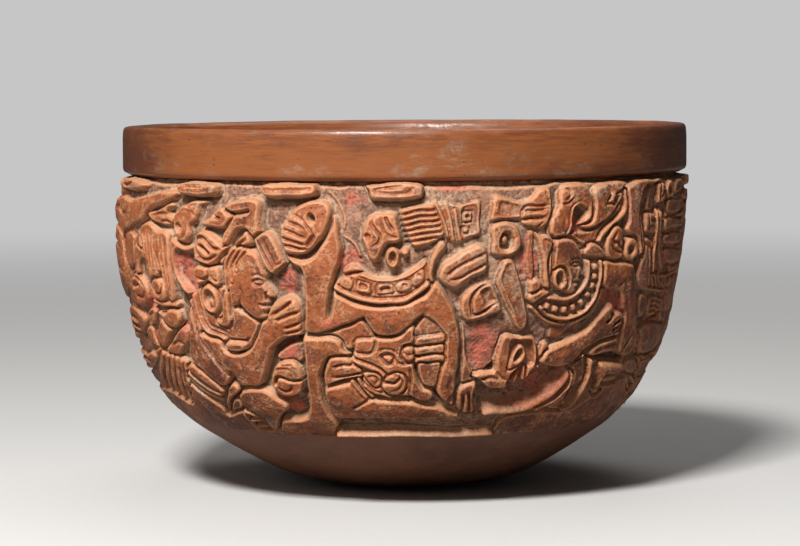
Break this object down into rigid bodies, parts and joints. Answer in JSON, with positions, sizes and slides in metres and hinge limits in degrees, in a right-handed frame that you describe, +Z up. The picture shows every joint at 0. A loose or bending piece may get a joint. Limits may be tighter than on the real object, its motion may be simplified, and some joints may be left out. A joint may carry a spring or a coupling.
{
  "type": "carved pottery bowl",
  "caption": "Deep round-bottomed fired-clay bowl with a smooth rim band and a deeply carved figural frieze.",
  "frame": {"origin": "middle of the flat resting face under the bowl", "axes": "+Z up to the mouth; the pictured side of the frieze faces -Y"},
  "size_m": [0.1722, 0.1721, 0.1075],
  "materials": {
    "rim_burnished": "burnished",
    "carved_relief": "burnished",
    "cut_ground": "rough",
    "lower_burnished": "burnished"
  },
  "bodies": {
    "root": {"animal_head": "carved_relief", "back_animal_head": "carved_relief", "back_creature_body": "carved_relief", "back_creature_head": "carved_relief", "back_feather_hood": "carved_relief", "back_feather_lobes": "carved_relief", "back_headdress": "carved_relief", "back_left_arm": "carved_relief", "back_left_head": "carved_relief", "back_long_arm": "carved_relief", "back_rattle_leg": "carved_relief", "back_shoulder_and_arm": "carved_relief", "back_trunk_headdress": "carved_relief", "bar_centre": "carved_relief", "bar_far_left": "carved_relief", "bar_left": "carved_relief", "bar_middle": "carved_relief", "beaded_collar": "carved_relief", "belly_head": "carved_relief", "border_band": "carved_relief", "cape": "carved_relief", "capsule": "carved_relief", "cartouche": "carved_relief", "creature_body": "carved_relief", "creature_collar": "carved_relief", "creature_head": "carved_relief", "drapery": "carved_relief", "earring_disc": "carved_relief", "feather_fan": "carved_relief", "feather_hood": "carved_relief", "feather_lobes": "carved_relief", "feather_panel": "carved_relief", "headdress": "carved_relief", "hooked_scroll": "carved_relief", "knot_and_sash": "carved_relief", "left_arm": "carved_relief", "left_head": "carved_relief", "left_rod": "carved_relief", "long_arm": "carved_relief", "low_slab": "carved_relief", "lower_bowl": "lower_burnished", "rattle": "carved_relief", "rattle_leg": "carved_relief", "right_head": "carved_relief", "rim_band": "rim_burnished", "ring": "carved_relief", "shell_block": "carved_relief", "shoulder_and_arm": "carved_relief", "side_creature_body": "carved_relief", "side_creature_head": "carved_relief", "side_headdress": "carved_relief", "side_left_arm": "carved_relief", "side_left_head": "carved_relief", "side_rattle": "carved_relief", "small_scroll": "carved_relief", "spindle": "carved_relief", "thigh": "carved_relief", "trunk_headdress": "carved_relief", "wall_lower": "cut_ground", "wall_upper": "cut_ground"}
  },
  "joints": []
}
